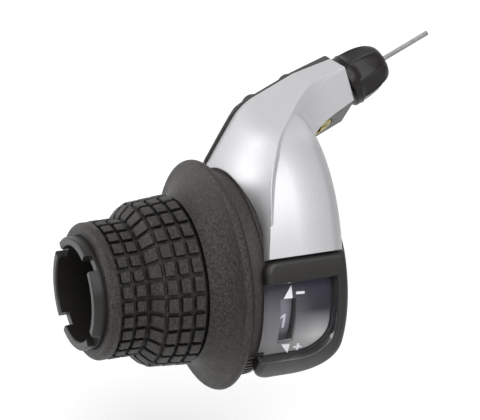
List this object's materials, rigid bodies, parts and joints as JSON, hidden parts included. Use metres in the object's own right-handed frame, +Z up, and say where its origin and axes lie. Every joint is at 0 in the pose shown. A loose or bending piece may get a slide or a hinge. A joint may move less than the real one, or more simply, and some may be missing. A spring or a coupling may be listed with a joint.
{
  "type": "bicycle twist shifter",
  "caption": "Left-hand twist shifter: a treaded rubber grip turns on the handlebar and winds a shift wire through a raised arm with a barrel adjuster; a window shows the gear.",
  "frame": {"origin": "on the handlebar axis, at the seam between the turning grip and the fixed body", "axes": "+X along the handlebar from the grip's outer end towards the middle of the bar, +Y away from the window side, +Z up on the arm's side"},
  "size_m": [0.0971, 0.0544, 0.0751],
  "materials": {
    "black_plastic": "fine-grained black moulding",
    "grey_plastic": "smooth dark grey moulding",
    "silver_paint": "silver metallic paint on plastic",
    "clear_plastic": "clear polished plastic",
    "grey_print": "printed grey plate",
    "number_plastic": "dark ring with light numerals",
    "white_plastic": "low-friction plastic",
    "knob_plastic": "satin black moulding",
    "rubber": "fine-grained black rubber",
    "yellow_zinc": "yellow passivated zinc",
    "dark_steel": "black oxide",
    "plain_steel": "bright zinc",
    "wire_steel": "stranded stainless steel",
    "brass": "turned brass"
  },
  "bodies": {
    "holder": {"bracket": "black_plastic", "top_cover": "silver_paint", "lower_cover": "grey_plastic", "indicator_bezel": "black_plastic", "indicator_lens": "clear_plastic", "indicator_mask": "grey_print", "cover_screws": "dark_steel", "keeper_screw": "yellow_zinc", "clamp_bolt": "dark_steel", "clamp_nut": "plain_steel", "cable_guide": "white_plastic", "detent_spring": "plain_steel", "thrust_washer": "white_plastic", "retainer_ring": "plain_steel", "adjuster_insert": "brass", "cable_lead": "wire_steel", "adjuster_spring": "plain_steel"},
    "twist": {"twist_sleeve": "black_plastic", "grip_rubber": "rubber", "number_ring": "number_plastic", "cable_nipple": "plain_steel"},
    "wire": {"shift_cable": "wire_steel"},
    "click": {"click_sleeve": "white_plastic"},
    "adjuster": {"adjuster_knob": "knob_plastic", "adjuster_stem": "plain_steel"}
  },
  "joints": [
    {"name": "grip_twist", "type": "hinge", "parent": "holder", "child": "twist", "pos_m": [0, 0, 0], "axis": [1, 0, 0], "range_deg": [0, 60], "deforming": ["cable_lead", "detent_spring"]},
    {"name": "wire_slide", "type": "slide", "parent": "holder", "child": "wire", "axis": [0.9135, 0, 0.4067], "range_m": [0, 0.01466]},
    {"name": "adjuster_slide", "type": "slide", "parent": "holder", "child": "click", "axis": [0.9135, 0, 0.4067], "range_m": [-0.0002, 0.0032], "deforming": ["adjuster_spring"]},
    {"name": "adjuster_turn", "type": "hinge", "parent": "click", "child": "adjuster", "pos_m": [0.04112, 0.014, 0.0375], "axis": [0.9135, 0, 0.4067], "range_deg": [-92, 1442]}
  ],
  "couplings": [
    {"joint": "wire_slide", "follows": "grip_twist", "m_per_rad": 0.014},
    {"joint": "adjuster_turn", "follows": "adjuster_slide", "rad_per_m": 7854}
  ]
}
